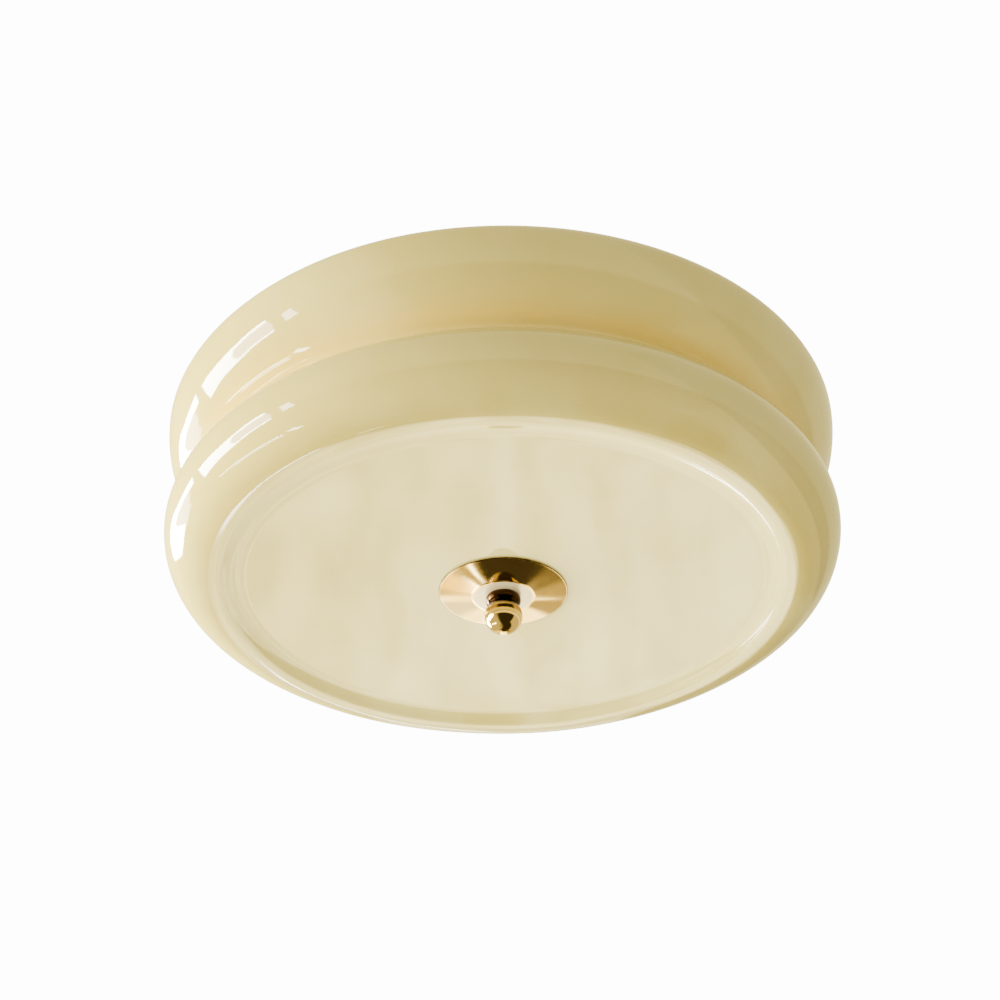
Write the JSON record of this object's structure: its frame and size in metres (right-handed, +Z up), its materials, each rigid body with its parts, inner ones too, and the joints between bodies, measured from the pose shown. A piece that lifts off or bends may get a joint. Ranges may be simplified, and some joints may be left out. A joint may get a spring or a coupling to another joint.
{
  "type": "flush ceiling light",
  "caption": "Round flush ceiling light: opal glass shade of two stacked rolls with a recessed panel, held to a steel pan by a brass cap and ball finial, with lampholders and bulbs inside.",
  "frame": {"origin": "middle of the two ceiling slots, on the ceiling face of the mounting bracket", "axes": "+Z up out of the ceiling face, so the light hangs towards -Z; +X along the mounting bracket from slot to slot"},
  "size_m": [0.4079, 0.408, 0.1461],
  "materials": {
    "opal_glass": "opal glass, cream, blown and polished",
    "polished_brass": "polished and lacquered",
    "silicone": "translucent white silicone",
    "zinc_steel": "zinc plated",
    "nickel": "nickel plated",
    "bronze": "phosphor bronze strip",
    "terminal_brass": "plain turned brass",
    "white_enamel": "white powder coat, satin",
    "glazed_ceramic": "white glazed porcelain",
    "white_nylon": "white nylon",
    "white_plastic": "white moulded plastic",
    "bulb_opal": "frosted opal diffuser",
    "black_glass": "black insulator",
    "black_rubber": "black rubber",
    "brown_sleeve": "brown silicone sleeve",
    "blue_sleeve": "blue silicone sleeve",
    "green_sleeve": "green and yellow silicone sleeve"
  },
  "bodies": {
    "root": {"block_screws": "zinc_steel", "bracket_studs": "zinc_steel", "cap_nuts": "nickel", "ceiling_pan": "white_enamel", "centre_rod": "zinc_steel", "earth_lug": "nickel", "earth_nut": "zinc_steel", "earth_screw": "zinc_steel", "earth_wire": "green_sleeve", "foot_screws": "zinc_steel", "holder_body_1": "glazed_ceramic", "holder_body_2": "glazed_ceramic", "holder_body_3": "glazed_ceramic", "holder_contact_1": "bronze", "holder_contact_2": "bronze", "holder_contact_3": "bronze", "holder_screws": "zinc_steel", "holder_shell_1": "nickel", "holder_shell_2": "nickel", "holder_shell_3": "nickel", "lamp_bracket_1": "zinc_steel", "lamp_bracket_2": "zinc_steel", "lamp_bracket_3": "zinc_steel", "live_wires": "brown_sleeve", "mounting_bracket": "zinc_steel", "neutral_wires": "blue_sleeve", "pan_bushings": "black_rubber", "pan_nuts": "zinc_steel", "pole_inserts": "terminal_brass", "pole_screws": "zinc_steel", "rod_nuts": "zinc_steel", "rod_washers": "zinc_steel", "stop_nut": "zinc_steel", "stop_washer": "zinc_steel", "stud_locknuts": "zinc_steel", "stud_washers": "zinc_steel", "terminal_block": "white_nylon", "terminal_screws": "terminal_brass"},
    "shade": {"glass_shade": "opal_glass", "shade_bush": "silicone"},
    "cap": {"brass_cap": "polished_brass", "cap_gasket": "silicone"},
    "finial": {"finial": "polished_brass"},
    "bulb_1": {"bulb_base_1": "nickel", "bulb_insulator_1": "black_glass", "bulb_contact_1": "nickel", "bulb_housing_1": "white_plastic", "bulb_globe_1": "bulb_opal"},
    "bulb_2": {"bulb_base_2": "nickel", "bulb_insulator_2": "black_glass", "bulb_contact_2": "nickel", "bulb_housing_2": "white_plastic", "bulb_globe_2": "bulb_opal"},
    "bulb_3": {"bulb_base_3": "nickel", "bulb_insulator_3": "black_glass", "bulb_contact_3": "nickel", "bulb_housing_3": "white_plastic", "bulb_globe_3": "bulb_opal"}
  },
  "joints": [
    {"name": "shade_lower", "type": "slide", "parent": "root", "child": "shade", "axis": [0, 0, -1], "range_m": [0, 0.15]},
    {"name": "cap_drop", "type": "slide", "parent": "shade", "child": "cap", "axis": [0, 0, -1], "range_m": [0, 0.012]},
    {"name": "finial_turn", "type": "hinge", "parent": "cap", "child": "finial", "pos_m": [0, 0, -0.13], "axis": [0, 0, -1], "range_deg": [0, 4321]},
    {"name": "bulb_1_unscrew", "type": "slide", "parent": "root", "child": "bulb_1", "axis": [0.866, 0.5, 0], "range_m": [0, 0.026]},
    {"name": "bulb_2_unscrew", "type": "slide", "parent": "root", "child": "bulb_2", "axis": [-0.866, 0.5, 0], "range_m": [0, 0.026]},
    {"name": "bulb_3_unscrew", "type": "slide", "parent": "root", "child": "bulb_3", "axis": [0, -1, 0], "range_m": [0, 0.026]}
  ],
  "couplings": [
    {"joint": "finial_turn", "follows": "cap_drop", "rad_per_m": 6283.2}
  ]
}
